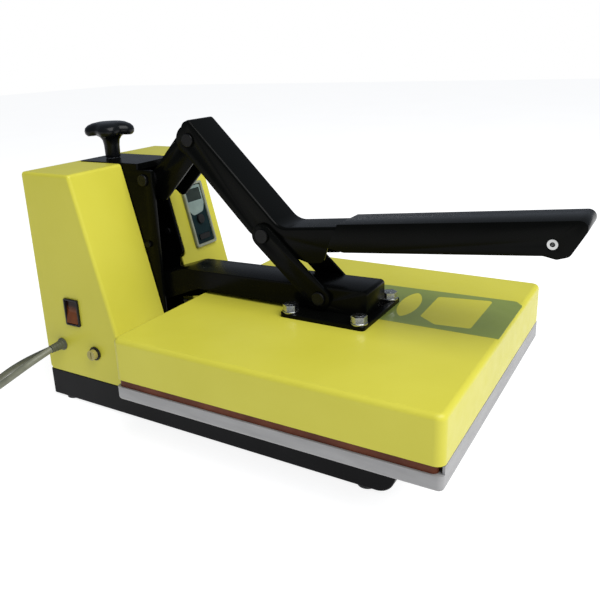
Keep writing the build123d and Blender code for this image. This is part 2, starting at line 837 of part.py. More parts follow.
with BuildPart() as set_button:
    with BuildSketch(panel_plane.offset(0.5)):
        with Locations(BUTTON_AT):
            Circle(7)
    extrude(amount=5.5)
save("set_button", set_button)

with BuildPart() as mode_key:
    with BuildSketch(panel_plane.offset(0.5)):
        with Locations(KEY_AT):
            RectangleRounded(24, 8, 1.5)
    extrude(amount=3.5)
save("mode_key", mode_key)

with BuildPart() as controller_case:
    with BuildSketch(panel_plane.offset(-30)):
        RectangleRounded(PANEL_W - 9, PANEL_H - 11, 2)
    extrude(amount=28)
    with BuildSketch(panel_plane.offset(-28)):
        Rectangle(PANEL_W - 13, PANEL_H - 15)
    extrude(amount=30, mode=Mode.SUBTRACT)
save("controller_case", controller_case)

with BuildPart() as circuit_board:
    with BuildSketch(panel_plane.offset(-12)):
        Rectangle(PANEL_W - 14, PANEL_H - 16)
    extrude(amount=1.6)
save("circuit_board", circuit_board)

with BuildPart() as solid_state_relay:
    with Locations((85, 270, COLUMN_FOOT + 12)):
        Box(58, 44, 24)
    fillet(solid_state_relay.edges().group_by(Axis.Z)[-1], radius=2)
save("solid_state_relay", solid_state_relay)

with BuildPart() as terminal_block:
    with Locations((-85, 262, COLUMN_FOOT + 8)):
        Box(22, 60, 16)
    for step in range(5):
        with Locations((-85, 240 + 11 * step, COLUMN_FOOT + 16)):
            Cylinder(3, 8, mode=Mode.SUBTRACT)
save("terminal_block", terminal_block)

# ---------------------------------------------------------------- switch, fuse and cord gland


with BuildPart() as rocker_body:
    with BuildSketch(Plane.YZ.offset(-HOUSING_X)):
        with Locations(ROCKER_AT):
            RectangleRounded(SWITCH_W, SWITCH_H, 2)
    extrude(amount=-3)
    with BuildSketch(Plane.YZ.offset(-HOUSING_X)):
        with Locations(ROCKER_AT):
            Rectangle(SWITCH_W - 3, SWITCH_H - 3)
    extrude(amount=20)
    with BuildSketch(Plane.YZ.offset(-HOUSING_X - 4)):
        with Locations(ROCKER_AT):
            Rectangle(SWITCH_W - 2 * SWITCH_RIM, SWITCH_H - 2 * SWITCH_RIM)
    extrude(amount=16, mode=Mode.SUBTRACT)
save("rocker_body", rocker_body)

with BuildPart() as rocker:
    with BuildSketch(Plane.XZ.offset(-ROCKER_AT[0] - 10.3)):
        with BuildLine():
            tilt = math.radians(ROCKER_TILT)
            profile = ((-3.6, -15.6), (-2.2, 0.0), (-3.6, 15.6), (3.0, 14.0), (5.0, 0.0), (3.0, -14.0))
            Polyline(
                *[
                    (
                        ROCKER_AXIS_X + x * math.cos(tilt) + z * math.sin(tilt),
                        ROCKER_AT[1] - x * math.sin(tilt) + z * math.cos(tilt),
                    )
                    for x, z in profile
                ],
                close=True,
            )
        make_face()
    extrude(amount=20.6)
    with BuildSketch(Plane.XZ.offset(-ROCKER_AT[0])):
        with Locations((ROCKER_AXIS_X, ROCKER_AT[1])):
            Circle(1.8)
    extrude(amount=10.6, both=True)
save("rocker", rocker)

with BuildPart() as fuse_holder:
    with BuildSketch(Plane.YZ.offset(-HOUSING_X)):
        with Locations(FUSE_AT):
            RegularPolygon(9.5, 6)
    extrude(amount=-3)
    with BuildSketch(Plane.YZ.offset(-HOUSING_X)):
        with Locations(FUSE_AT):
            Circle(6)
    extrude(amount=30)
    with BuildSketch(Plane.YZ.offset(-HOUSING_X - 4)):
        with Locations(FUSE_AT):
            Circle(4.2)
    extrude(amount=30, mode=Mode.SUBTRACT)
save("fuse_holder", fuse_holder)

with BuildPart() as fuse_cap:
    with BuildSketch(Plane.YZ.offset(-HOUSING_X - 3.2)):
        with Locations(FUSE_AT):
            Circle(7)
    extrude(amount=-6)
    with BuildSketch(Plane.YZ.offset(-HOUSING_X - 3.2)):
        with Locations(FUSE_AT):
            Circle(4.0)
    extrude(amount=20)
    with Locations((-HOUSING_X - 9.2, *FUSE_AT)):
        Box(3, 2, 9, mode=Mode.SUBTRACT)
save("fuse_cap", fuse_cap)

cord_plane = Plane(origin=(-HOUSING_X, *CORD_AT), x_dir=(0, 1, 0), z_dir=(-1, 0, 0))
tapered_gland("cord_gland", cord_plane, GLAND_LEN, CORD_R + 1.2)

# ================================================================ mains cord

COIL_X = 20.0
COIL_Y = 408.0
COIL_MID_R = 48.0
COIL_OUT_R = COIL_MID_R + 2 * CORD_R
COIL_IN_R = COIL_MID_R - 2 * CORD_R
COIL_H = 4 * CORD_R
LIE_Z = CORD_R

cord_route = [
    (-HOUSING_X - GLAND_LEN, CORD_AT[0], CORD_AT[1]),
    (-184.0, 310.0, 79.0),
    (-211.0, 330.0, 60.0),
    (-223.0, 364.0, 35.0),
    (-213.0, 402.0, 14.0),
    (-180.0, 433.0, LIE_Z),
    (-135.0, 455.0, LIE_Z),
    (-86.0, 467.0, LIE_Z),
    (-38.0, 469.0, LIE_Z),
    (6.0, 460.0, LIE_Z),
]


def corner_radii(points):
    """Arc radius at each inner point: 0.45 of the shorter run over the tangent of half the turn."""
    radii = []
    for before, here, after in zip(points, points[1:], points[2:]):
        run_in = Vector(*here) - Vector(*before)
        run_out = Vector(*after) - Vector(*here)
        half_turn = math.radians(run_in.get_angle(run_out)) / 2
        radii.append(0.45 * min(run_in.length, run_out.length) / math.tan(half_turn))
    return radii


cord_radii = corner_radii(cord_route)
print("cord arc radii", [round(r, 1) for r in cord_radii])

with BuildPart() as cord_tube:
    with BuildLine():
        cord_line = FilletPolyline(*cord_route, radius=cord_radii)
    with BuildSketch(Plane(origin=cord_line @ 0, z_dir=cord_line % 0)):
        Circle(CORD_R)
    sweep()
save("cord_tube", cord_tube)
volume_ratio = cord_tube.part.volume / (math.pi * CORD_R**2 * cord_line.length)
print("cord tube", round(cord_line.length), "mm, volume over section times length", round(volume_ratio, 4))

with BuildPart() as cord_coil:
    with BuildSketch(Plane.XZ.offset(-COIL_Y)):
        with Locations((COIL_X + COIL_MID_R, COIL_H / 2)):
            RectangleRounded(COIL_OUT_R - COIL_IN_R, COIL_H, CORD_R)
    revolve(axis=Axis((COIL_X, COIL_Y, 0), (0, 0, 1)))
save("cord_coil", cord_coil)

with BuildPart() as mains_plug:
    with Locations((COIL_X + COIL_MID_R + 2, COIL_Y - 10, COIL_H + 13)):
        Box(36, 46, 26)
    fillet(mains_plug.edges().filter_by(Axis.Z), radius=8)
    with BuildSketch(Plane.XZ.offset(-(COIL_Y - 33))):
        with Locations((COIL_X + COIL_MID_R - 8, COIL_H + 13), (COIL_X + COIL_MID_R + 12, COIL_H + 13)):
            Circle(2.4)
    extrude(amount=19)
save("mains_plug", mains_plug)
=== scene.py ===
"""Looks of the clamshell heat press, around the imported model. Metres, unless a comment says millimetres."""
import bmesh
import bpy
import json
import math
from mathutils import Matrix, Vector


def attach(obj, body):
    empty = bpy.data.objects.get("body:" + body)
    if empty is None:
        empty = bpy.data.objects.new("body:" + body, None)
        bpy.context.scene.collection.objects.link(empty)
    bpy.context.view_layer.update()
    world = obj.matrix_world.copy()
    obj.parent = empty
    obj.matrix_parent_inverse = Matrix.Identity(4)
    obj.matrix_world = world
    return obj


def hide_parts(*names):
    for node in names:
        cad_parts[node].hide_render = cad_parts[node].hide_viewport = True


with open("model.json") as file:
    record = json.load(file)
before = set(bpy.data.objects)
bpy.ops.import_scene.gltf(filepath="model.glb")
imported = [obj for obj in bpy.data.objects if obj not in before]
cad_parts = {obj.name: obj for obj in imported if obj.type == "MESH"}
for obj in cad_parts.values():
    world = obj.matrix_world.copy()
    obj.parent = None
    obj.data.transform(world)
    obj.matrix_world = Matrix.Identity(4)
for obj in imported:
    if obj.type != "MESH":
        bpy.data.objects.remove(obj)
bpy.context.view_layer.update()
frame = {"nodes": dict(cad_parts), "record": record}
nodes = frame["nodes"]
MM = 0.001
scene = bpy.context.scene

# ---------------------------------------------------------------- camera
AZIMUTH, ELEVATION, ROLL = (math.radians(v) for v in (-58.53, 17.78, -2.3))
CAMERA_AT = (-0.71721, -0.42014, 0.4593)
CAMERA_LENS = 40.89
CAMERA_SENSOR = 36.0
CAMERA_SHIFT = (0.0232, -0.0471)
CAMERA_CLIP = (0.02, 60.0)
back = Vector((
    math.sin(AZIMUTH) * math.cos(ELEVATION),
    -math.cos(AZIMUTH) * math.cos(ELEVATION),
    math.sin(ELEVATION),
))
level = (-back).cross(Vector((0, 0, 1))).normalized()
rise = level.cross(-back)
right = math.cos(ROLL) * level + math.sin(ROLL) * rise
up = -math.sin(ROLL) * level + math.cos(ROLL) * rise
camera = bpy.data.objects.new("camera", bpy.data.cameras.new("camera"))
scene.collection.objects.link(camera)
camera.data.sensor_width = CAMERA_SENSOR
camera.data.lens = CAMERA_LENS
camera.data.shift_x, camera.data.shift_y = CAMERA_SHIFT
camera.data.clip_start, camera.data.clip_end = CAMERA_CLIP
turn = Matrix((right, up, back)).transposed().to_4x4()
camera.matrix_world = Matrix.Translation(Vector(CAMERA_AT)) @ turn
scene.camera = camera


# ---------------------------------------------------------------- materials
def new_material(name):
    """Material, its node tree, its principled shader and a texture coordinate node."""
    mat = bpy.data.materials.new(name)
    mat.use_nodes = True
    tree = mat.node_tree
    shader = tree.nodes["Principled BSDF"]
    place = tree.nodes.new("ShaderNodeTexCoord")
    return mat, tree, shader, place


def noise(tree, place, scale, detail=3.0, stretch=None):
    """Noise texture on object coordinates, stretched by a scale for each axis if one is given."""
    tex = tree.nodes.new("ShaderNodeTexNoise")
    tex.inputs["Scale"].default_value = scale
    tex.inputs["Detail"].default_value = detail
    if stretch:
        mapping = tree.nodes.new("ShaderNodeMapping")
        mapping.inputs["Scale"].default_value = stretch
        tree.links.new(place.outputs["Object"], mapping.inputs["Vector"])
        tree.links.new(mapping.outputs["Vector"], tex.inputs["Vector"])
    else:
        tree.links.new(place.outputs["Object"], tex.inputs["Vector"])
    return tex


def ramp(tree, source, stops):
    """Colour ramp from (position, colour) stops, driven by a socket."""
    node = tree.nodes.new("ShaderNodeValToRGB")
    elements = node.color_ramp.elements
    while len(elements) < len(stops):
        elements.new(0.5)
    for element, (position, colour) in zip(elements, stops):
        element.position = position
        element.color = (*colour, 1.0)
    tree.links.new(source, node.inputs["Fac"])
    return node


def grey(value):
    """Neutral colour."""
    return (value, value, value)


def bump(tree, shader, source, strength, distance):
    """Bump on the shader's normal, from a height socket."""
    node = tree.nodes.new("ShaderNodeBump")
    node.inputs["Strength"].default_value = strength
    node.inputs["Distance"].default_value = distance
    tree.links.new(source, node.inputs["Height"])
    tree.links.new(node.outputs["Normal"], shader.inputs["Normal"])


MOTTLE = (0.3, 0.7)  # noise values at which the low and the high end of a colour or roughness are reached


def finish_of(name, low, high, rough, patch=18.0, grain=900.0, grain_depth=0.0001, grain_strength=0.15,
              metallic=0.0, coat=0.0, coat_rough=0.05, specular=0.5, stretch=None):
    """Mottled surface: colour from low to high, roughness between two values, fine grain in the bump."""
    mat, tree, shader, place = new_material(name)
    shader.inputs["Metallic"].default_value = metallic
    shader.inputs["Coat Weight"].default_value = coat
    shader.inputs["Coat Roughness"].default_value = coat_rough
    shader.inputs["Specular IOR Level"].default_value = specular
    large = noise(tree, place, patch, 4.0, stretch)
    colour = ramp(tree, large.outputs["Fac"], tuple(zip(MOTTLE, (low, high))))
    tree.links.new(colour.outputs["Color"], shader.inputs["Base Color"])
    middle = noise(tree, place, patch * 6, 4.0, stretch)
    rough_ramp = ramp(tree, middle.outputs["Fac"], tuple(zip(MOTTLE, map(grey, rough))))
    tree.links.new(rough_ramp.outputs["Color"], shader.inputs["Roughness"])
    fine = noise(tree, place, grain, 2.0, stretch)
    bump(tree, shader, fine.outputs["Fac"], grain_strength, grain_depth)
    return mat


yellow = finish_of(
    "yellow_powder_coat", (0.515, 0.478, 0.046), (0.550, 0.512, 0.058), (0.34, 0.42),
    patch=9.0, grain=520.0, grain_depth=0.00008, grain_strength=0.08,
    coat=0.06, coat_rough=0.20, specular=0.22,
)
base_black = finish_of(
    "base_black_coat", (0.005, 0.005, 0.0055), (0.009, 0.009, 0.010), (0.32, 0.38),
    patch=14.0, grain=1300.0, grain_depth=0.00008, grain_strength=0.12, specular=0.07,
)
gloss_black = finish_of(
    "gloss_black_enamel", (0.0012, 0.0014, 0.0012), (0.0020, 0.0022, 0.0019), (0.24, 0.28),
    patch=12.0, grain=420.0, grain_depth=0.00005, grain_strength=0.05, specular=0.06,
)
blackened = finish_of(
    "blackened_steel", (0.0025, 0.0025, 0.0028), (0.0060, 0.0060, 0.0065), (0.20, 0.30),
    patch=60.0, grain=1600.0, grain_depth=0.00004, grain_strength=0.12, specular=0.14,
)
tray_metal = finish_of(
    "tray_satin_metal", (0.245, 0.241, 0.241), (0.300, 0.296, 0.296), (0.38, 0.50), metallic=0.1,
    patch=16.0, grain=700.0, grain_depth=0.00005, grain_strength=0.10, stretch=(1.0, 1.0, 6.0),
)
silicone = finish_of(
    "brown_silicone", (0.085, 0.021, 0.009), (0.150, 0.042, 0.018), (0.50, 0.66),
    patch=26.0, grain=1500.0, grain_depth=0.0002, grain_strength=0.35, specular=0.2,
)
zinc = finish_of(
    "bright_zinc", (0.42, 0.43, 0.42), (0.58, 0.58, 0.57), (0.16, 0.30), metallic=1.0,
    patch=60.0, grain=1800.0, grain_depth=0.00004, grain_strength=0.15,
)
bronze = finish_of(
    "turned_bronze", (0.42, 0.27, 0.11), (0.55, 0.37, 0.17), (0.25, 0.4), metallic=1.0,
    patch=60.0, grain=1500.0, grain_depth=0.00004,
)
knob_black = finish_of(
    "knob_moulded_plastic", (0.003, 0.0035, 0.004), (0.005, 0.006, 0.007), (0.24, 0.30),
    patch=40.0, grain=1600.0, grain_depth=0.00005, grain_strength=0.10, specular=0.16,
)
platen_face = finish_of(
    "platen_coated_aluminium", (0.10, 0.10, 0.105), (0.15, 0.15, 0.155), (0.38, 0.5), metallic=0.4,
    patch=20.0, grain=900.0,
)
dark_steel = finish_of(
    "oxidised_steel", (0.16, 0.15, 0.14), (0.26, 0.24, 0.22), (0.4, 0.6),
    metallic=1.0, patch=40.0, grain=1200.0,
)
fibre = finish_of(
    "white_fibre", (0.66, 0.64, 0.57), (0.80, 0.78, 0.71), (0.85, 0.95), patch=60.0, grain=700.0,
    grain_depth=0.001, grain_strength=0.6,
)
ceramic = finish_of("sensor_ceramic", (0.62, 0.60, 0.55), (0.72, 0.70, 0.65), (0.4, 0.55), patch=80.0)
black_plastic = finish_of(
    "satin_black_plastic", (0.005, 0.005, 0.0055), (0.009, 0.009, 0.0095), (0.34, 0.46),
    patch=50.0, grain=2200.0, grain_depth=0.00006, grain_strength=0.2, specular=0.2,
)
label_face = finish_of(
    "controller_label", (0.004, 0.012, 0.014), (0.008, 0.020, 0.023), (0.20, 0.26),
    patch=45.0, grain=500.0, grain_depth=0.00002, specular=0.08,
)
label_band = finish_of(
    "controller_label_band", (0.150, 0.200, 0.190), (0.215, 0.275, 0.255), (0.20, 0.26),
    patch=60.0, grain=500.0, grain_depth=0.00002, specular=0.10,
)
window_grey = finish_of(
    "display_window_plastic", (0.014, 0.020, 0.017), (0.026, 0.034, 0.030), (0.10, 0.16),
    patch=60.0, grain=300.0, grain_depth=0.00001, specular=0.20,
)
frame_grey = finish_of(
    "controller_frame_grey", (0.190, 0.205, 0.150), (0.260, 0.275, 0.200), (0.30, 0.42),
    patch=60.0, grain=1800.0, grain_depth=0.00005, grain_strength=0.2,
)
board_green = finish_of("board_green", (0.01, 0.09, 0.03), (0.02, 0.14, 0.05), (0.3, 0.5), patch=120.0)
pale_plastic = finish_of("pale_plastic", (0.62, 0.62, 0.57), (0.70, 0.70, 0.65), (0.4, 0.5), patch=50.0)
amber = finish_of(
    "amber_rocker", (0.115, 0.027, 0.004), (0.150, 0.040, 0.006), (0.20, 0.28), patch=70.0, grain=900.0,
    grain_depth=0.00003, specular=0.15,
)


def paint_shade_upward(mat, stops):
    """Painted shade: multiply the base colour by greys set against the height in the piece's own box."""
    tree = mat.node_tree
    place = tree.nodes.new("ShaderNodeTexCoord")
    split = tree.nodes.new("ShaderNodeSeparateXYZ")
    tree.links.new(place.outputs["Generated"], split.inputs["Vector"])
    shade = ramp(tree, split.outputs["Z"], stops)
    mix = tree.nodes.new("ShaderNodeMix")
    mix.data_type = "RGBA"
    mix.blend_type = "MULTIPLY"
    mix.inputs["Factor"].default_value = 1.0
    base = tree.nodes["Principled BSDF"].inputs["Base Color"]
    tree.links.new(base.links[0].from_socket, mix.inputs["A"])
    tree.links.new(shade.outputs["Color"], mix.inputs["B"])
    tree.links.new(mix.outputs["Result"], base)


# The rocker's upper part is darkened: painted shade under the housing's bezel, not a colour of the rocker.
paint_shade_upward(amber, ((0.50, grey(1.0)), (0.80, grey(0.10))))
cap_olive = finish_of(
    "fuse_cap_olive", (0.290, 0.255, 0.070), (0.350, 0.305, 0.092), (0.26, 0.36), patch=60.0, grain=1400.0,
    grain_depth=0.00004, specular=0.3,
)
cord_grey = finish_of(
    "cord_jacket", (0.110, 0.114, 0.080), (0.165, 0.169, 0.120), (0.40, 0.52), patch=50.0, grain=1200.0,
    grain_depth=0.0001, grain_strength=0.2,
)
gland_grey = finish_of(
    "gland_grey_rubber", (0.055, 0.058, 0.038), (0.090, 0.094, 0.064), (0.40, 0.52),
    patch=60.0, grain=1600.0, grain_depth=0.00006, grain_strength=0.2, specular=0.25,
)
rubber = finish_of("foot_rubber", grey(0.012), grey(0.022), (0.7, 0.85), patch=70.0, grain=1500.0)
# Olive of the film on the cover's top: painted shadow of the handle.
handle_shadow_paint = finish_of(
    "painted_handle_shadow", (0.165, 0.215, 0.034), (0.210, 0.262, 0.046), (0.30, 0.38), patch=12.0, grain=500.0,
    grain_depth=0.00004, coat=0.15, coat_rough=0.15,
)

# finish of each material slot
FINISH = {
    "yellow_paint": yellow, "base_paint": base_black, "gloss_black_paint": gloss_black,
    "tray_metal": tray_metal, "silicone": silicone, "foot_rubber": rubber,
    "zinc_steel": zinc, "blackened_steel": blackened, "bush_bronze": bronze, "eyelet_metal": zinc,
    "knob_plastic": knob_black, "platen_aluminium": platen_face, "element_steel": dark_steel,
    "insulation": fibre, "sensor_ceramic": ceramic, "gland_plastic": gland_grey,
    "panel_frame": frame_grey, "panel_label": label_face, "display_glass": window_grey,
    "button_plastic": black_plastic, "board": board_green,
    "relay_plastic": pale_plastic, "terminal_plastic": pale_plastic,
    "switch_plastic": black_plastic, "rocker_plastic": amber,
    "fuse_plastic": black_plastic, "fuse_cap_plastic": cap_olive,
    "cord_jacket": cord_grey, "plug_plastic": black_plastic,
}
slot_of = {entry["node"]: entry["material_slot"] for entry in frame["record"]["subparts"]}
body_of = {n: b for b, members in frame["record"]["behaviour"]["bodies"].items() for n in members}
for name, node in nodes.items():
    node.data.materials.clear()
    node.data.materials.append(FINISH[slot_of[name]])


# ---------------------------------------------------------------- pieces
def add_piece(name, mesh, body, material, replaces=()):
    """Mesh object in the part's frame, riding on a body, and standing for the CAD nodes in replaces."""
    piece = bpy.data.objects.new(name, mesh)
    scene.collection.objects.link(piece)
    mesh.materials.clear()
    mesh.materials.append(material)
    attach(piece, body)
    if replaces:
        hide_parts(*replaces)
    return piece


def apply_modifiers(piece):
    """Bake the modifiers into the mesh."""
    graph = bpy.context.evaluated_depsgraph_get()
    baked = bpy.data.meshes.new_from_object(piece.evaluated_get(graph))
    piece.modifiers.clear()
    piece.data = baked


PLATE_CREASE, TURNED_CREASE, MOULDED_CREASE = 32.0, 38.0, 30.0  # degrees from which an edge stays sharp
BEVEL_SEGMENTS = 2
BEVEL_ANGLE = math.radians(35.0)  # edges sharper than this are broken
FLAT_ANGLE = math.radians(0.8)  # facets closer than this are merged first
WELD = 1e-6


def soften(node_name, width):
    """Stand-in for a CAD node with its sharp edges broken, as on folded, deburred and painted plate."""
    mesh = nodes[node_name].data.copy()
    build = bmesh.new()
    build.from_mesh(mesh)
    bmesh.ops.remove_doubles(build, verts=build.verts, dist=WELD)
    bmesh.ops.dissolve_limit(build, angle_limit=FLAT_ANGLE, verts=build.verts, edges=build.edges)
    build.to_mesh(mesh)
    build.free()
    slot = slot_of[node_name]
    piece = add_piece(node_name + "_soft", mesh, body_of[node_name], FINISH[slot], (node_name,))
    bevel = piece.modifiers.new("edges", "BEVEL")
    bevel.width = width
    bevel.segments = BEVEL_SEGMENTS
    bevel.limit_method = "ANGLE"
    bevel.angle_limit = BEVEL_ANGLE
    bevel.use_clamp_overlap = True
    bevel.harden_normals = False
    apply_modifiers(piece)
    mark_smooth(piece.data, PLATE_CREASE)


def mark_smooth(mesh, angle):
    """Smooth shading, with edges sharper than the angle in degrees kept sharp."""
    build = bmesh.new()
    build.from_mesh(mesh)
    for face in build.faces:
        face.smooth = True
    for edge in build.edges:
        edge.smooth = not (edge.is_manifold and edge.calc_face_angle(0.0) > math.radians(angle))
    build.to_mesh(mesh)
    build.free()


ON_AXIS = 1e-7


def lathe(profile, steps, origin, x_dir, axis_dir, wobble=None):
    """Surface of revolution from (radius, height) rows; wobble(angle, row) gives a factor and a lift."""
    x_dir, axis_dir = Vector(x_dir).normalized(), Vector(axis_dir).normalized()
    y_dir = axis_dir.cross(x_dir)
    build = bmesh.new()
    rings = []
    for row, (radius, height) in enumerate(profile):
        if radius < ON_AXIS:
            rings.append([build.verts.new(Vector(origin) + axis_dir * height)])
            continue
        ring = []
        for step in range(steps):
            angle = 2 * math.pi * step / steps
            grow, lift = wobble(angle, row) if wobble else (1.0, 0.0)
            out = x_dir * math.cos(angle) + y_dir * math.sin(angle)
            ring.append(build.verts.new(Vector(origin) + out * radius * grow + axis_dir * (height + lift)))
        rings.append(ring)
    for low, high in zip(rings, rings[1:]):
        for step in range(steps):
            after = (step + 1) % steps
            corners = (
                low[step % len(low)], low[after % len(low)],
                high[after % len(high)], high[step % len(high)],
            )
            unique = list(dict.fromkeys(corners))
            if len(unique) > 2:
                build.faces.new(unique)
    for ring, flip in ((rings[0], True), (rings[-1], False)):
        if len(ring) > 1:
            build.faces.new(list(reversed(ring)) if flip else ring)
    bmesh.ops.recalc_face_normals(build, faces=build.faces)
    mesh = bpy.data.meshes.new("lathe")
    build.to_mesh(mesh)
    build.free()
    mark_smooth(mesh, TURNED_CREASE)
    return mesh


def join_meshes(meshes):
    """One mesh from several."""
    build = bmesh.new()
    for mesh in meshes:
        build.from_mesh(mesh)
    joined = bpy.data.meshes.new("joined")
    build.to_mesh(joined)
    build.free()
    return joined


CORNER_STEPS = 6
LEAST_CORNER = 0.0002


def rounded_prism(width, depth, corner, heights, plane, insets):
    """Rounded rectangle swept through heights, inset at each; plane is (origin, x, y, normal)."""
    origin, x_dir, y_dir, normal = (Vector(v) for v in plane)
    build = bmesh.new()
    rings = []
    for height, inset in zip(heights, insets):
        ring = []
        half_w, half_d, radius = width / 2 - inset, depth / 2 - inset, max(corner - inset, LEAST_CORNER)
        for quarter in range(4):
            sx, sy = ((1, 1), (-1, 1), (-1, -1), (1, -1))[quarter]
            for step in range(CORNER_STEPS + 1):
                angle = math.pi / 2 * (quarter + step / CORNER_STEPS)
                x = sx * (half_w - radius) + radius * math.cos(angle)
                y = sy * (half_d - radius) + radius * math.sin(angle)
                ring.append(build.verts.new(origin + x_dir * x + y_dir * y + normal * height))
        rings.append(ring)
    count = len(rings[0])
    for low, high in zip(rings, rings[1:]):
        for step in range(count):
            after = (step + 1) % count
            build.faces.new((low[step], low[after], high[after], high[step]))
    build.faces.new(list(reversed(rings[0])))
    build.faces.new(rings[-1])
    bmesh.ops.recalc_face_normals(build, faces=build.faces)
    mesh = bpy.data.meshes.new("prism")
    build.to_mesh(mesh)
    build.free()
    mark_smooth(mesh, MOULDED_CREASE)
    return mesh


# ---------------------------------------------------------------- mains cord
EXIT = (-0.155, 0.306, 0.086)
CORD_D = 0.009
ON_FLOOR = 0.0046  # height of the axis where the cord lies on the floor
ON_CORD = 0.0138  # height of the axis where it lies on another turn
PLUG_Z = 0.031
COIL = Vector((0.020, 0.408, 0.0))
OUTER, INNER = 0.0526, 0.0434
COIL_START = math.radians(97.0)
PER_TURN = 18
TURNS = 3.0972
RISE_FROM = 2.847  # turn at which the cord starts to rise towards the plug
RISE_SHARE = 0.656
WANDER = 0.0002


def ease(value, start, end):
    """Smooth step from 0 at start to 1 at end."""
    share = min(max((value - start) / (end - start), 0.0), 1.0)
    return share * share * (3 - 2 * share)


route = [
    EXIT, (-0.184, 0.310, 0.079), (-0.211, 0.330, 0.060), (-0.223, 0.364, 0.035),
    (-0.213, 0.402, 0.014), (-0.180, 0.433, ON_FLOOR), (-0.135, 0.455, ON_FLOOR),
    (-0.086, 0.467, ON_FLOOR), (-0.038, 0.4675, ON_FLOOR), (-0.012, 0.4655, ON_FLOOR),
]
for step in range(int(TURNS * PER_TURN) + 1):
    turn_now = step / PER_TURN
    angle = COIL_START - 2 * math.pi * turn_now
    radius = OUTER + (INNER - OUTER) * (ease(turn_now, 0.78, 0.98) - ease(turn_now, 2.25, 2.5))
    height = ON_FLOOR + (ON_CORD - ON_FLOOR) * ease(turn_now, 1.42, 1.72)
    rise = RISE_SHARE * (turn_now - RISE_FROM) / (TURNS - RISE_FROM)
    height += (PLUG_Z - ON_CORD) * ease(rise, 0.0, 1.0)
    radius += WANDER * math.sin(5.0 * angle)
    route.append((COIL.x + radius * math.cos(angle), COIL.y + radius * math.sin(angle), height))
route += [
    (0.0542, 0.4478, 0.0283), (0.0619, 0.4390, 0.0298), (0.0671, 0.4287, 0.0308),
    (0.0695, 0.4190, PLUG_Z), (0.0700, 0.4110, PLUG_Z),
]
curve = bpy.data.curves.new("mains_cord", "CURVE")
curve.dimensions = "3D"
spline = curve.splines.new("NURBS")
spline.points.add(len(route) - 1)
for point, place in zip(spline.points, route):
    point.co = (*place, 1.0)
spline.order_u = 3
spline.use_endpoint_u = True
spline.resolution_u = 8
curve.bevel_depth = CORD_D / 2
curve.bevel_resolution = 6
curve.use_fill_caps = True
cord = bpy.data.objects.new("mains_cord_run", curve)
scene.collection.objects.link(cord)
curve.materials.append(cord_grey)
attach(cord, "base")
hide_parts("cord_tube", "cord_coil")

# ---------------------------------------------------------------- edges of the folded and cast parts
EDGE_WIDTHS = (  # node, width of the broken edge in millimetres
    ("lever_channel", 1.4), ("handle_sleeve", 2.6), ("platen_arm", 2.2), ("head_yoke", 1.0),
    ("link_plate_left", 0.9), ("link_plate_right", 0.9),
    ("column_wall_left", 0.9), ("column_wall_right", 0.9),
    ("mounting_plate", 1.0), ("platen_fasteners", 0.7), ("controller_bezel", 0.8), ("rocker_body", 0.7),
    ("column_base_plate", 0.8), ("platen_supports", 0.8), ("rubber_feet", 0.6), ("wall_bolts", 0.6),
)
for node_name, width in EDGE_WIDTHS:
    soften(node_name, width * MM)


def in_metres(rows):
    """Profile rows from millimetres."""
    return [(radius * MM, height * MM) for radius, height in rows]


# ---------------------------------------------------------------- pressure knob
KNOB_AT = (0.0, 0.303, 0.0)
KNOB_LOBES = 5
LOBE_DEPTH = 0.17
KNOB_ROWS = (  # radius and height in millimetres, share of the lobes' depth, droop in millimetres
    (9.8, 326.3, 0.0, 0.0), (10.4, 327.0, 0.0, 0.0), (10.6, 330.0, 0.0, 0.0), (10.9, 344.0, 0.0, 0.0),
    (12.2, 351.0, 0.1, 0.0), (15.5, 356.0, 0.35, 0.3), (21.0, 359.2, 0.7, 0.6), (27.5, 359.8, 1.0, 1.6),
    (32.0, 360.6, 1.0, 2.2), (34.8, 363.2, 1.0, 2.0), (35.4, 366.5, 1.0, 1.4), (34.2, 370.2, 1.0, 0.9),
    (30.5, 373.2, 0.9, 0.6), (25.0, 375.2, 0.7, 0.3), (18.0, 376.3, 0.4, 0.1), (9.0, 376.8, 0.1, 0.0),
    (0.0, 376.9, 0.0, 0.0),
)


def knob_wave(angle, row):
    """Radius factor between the knob's lobes, and the droop of the lobes."""
    _, _, depth, droop = KNOB_ROWS[row]
    hollow = (0.5 - 0.5 * math.cos(KNOB_LOBES * angle)) ** 1.6
    return 1.0 - LOBE_DEPTH * depth * hollow, -droop * MM * (1.0 - hollow)


knob = lathe(in_metres(row[:2] for row in KNOB_ROWS), 120, KNOB_AT, (1, 0, 0), (0, 0, 1), knob_wave)
add_piece("knob_head", knob, "pressure_knob", knob_black, ("pressure_knob",))


# ---------------------------------------------------------------- cord gland, fuse holder and plug
ROWS_PER_RIB = 6


def ribbed(start, end, radius_from, radius_to, ribs, depth):
    """Rows in millimetres of a tapered boot with grooves round it."""
    rows = []
    count = ribs * ROWS_PER_RIB
    for step in range(count + 1):
        share = step / count
        radius = radius_from + (radius_to - radius_from) * share
        groove = 0.5 - 0.5 * math.cos(2 * math.pi * ribs * share)
        rows.append((radius - depth * groove, start + (end - start) * share))
    return rows


